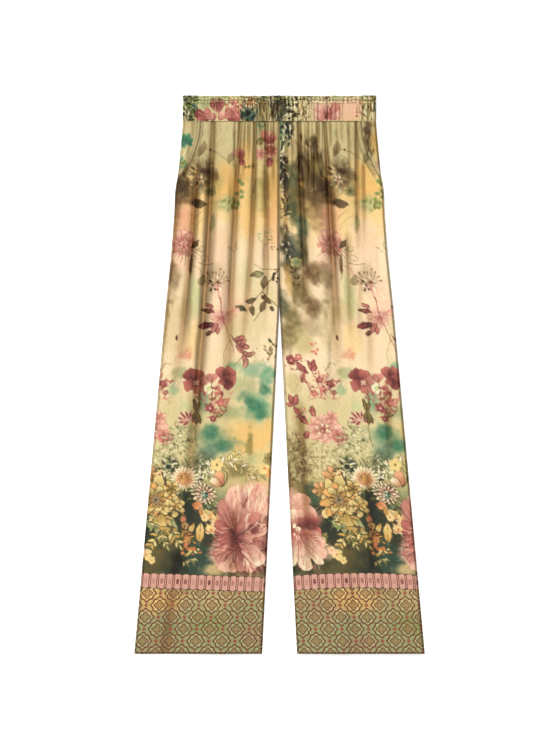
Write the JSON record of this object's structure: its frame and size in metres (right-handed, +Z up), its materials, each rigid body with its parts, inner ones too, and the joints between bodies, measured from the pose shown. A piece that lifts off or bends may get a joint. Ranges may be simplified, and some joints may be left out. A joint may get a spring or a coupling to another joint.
{
  "type": "pull-on trousers with wide flared legs, laid flat",
  "caption": "Pull-on trousers laid flat, with an elasticated, frilled waistband, slanted side pockets, soft gathers and wide legs that flare to open hems.",
  "frame": {"origin": "on the table, under the middle of the garment's length and width", "axes": "+X to the wearer's left, +Y from the hems towards the waist, +Z up from the table through the front of the garment"},
  "size_m": [0.552, 1.0602, 0.008],
  "materials": {
    "leg_cloth": "soft satin with a flower print that shades from cream to dark green, and a tile border at the hem",
    "waistband_cloth": "the same printed satin, drawn up over elastic",
    "pocket_cloth": "the same printed satin, smooth"
  },
  "bodies": {
    "root": {"front_right": "leg_cloth", "front_left": "leg_cloth", "back_right": "leg_cloth", "back_left": "leg_cloth", "pocket_right": "pocket_cloth", "pocket_left": "pocket_cloth", "waistband_front": "waistband_cloth", "waistband_back": "waistband_cloth"}
  },
  "joints": []
}
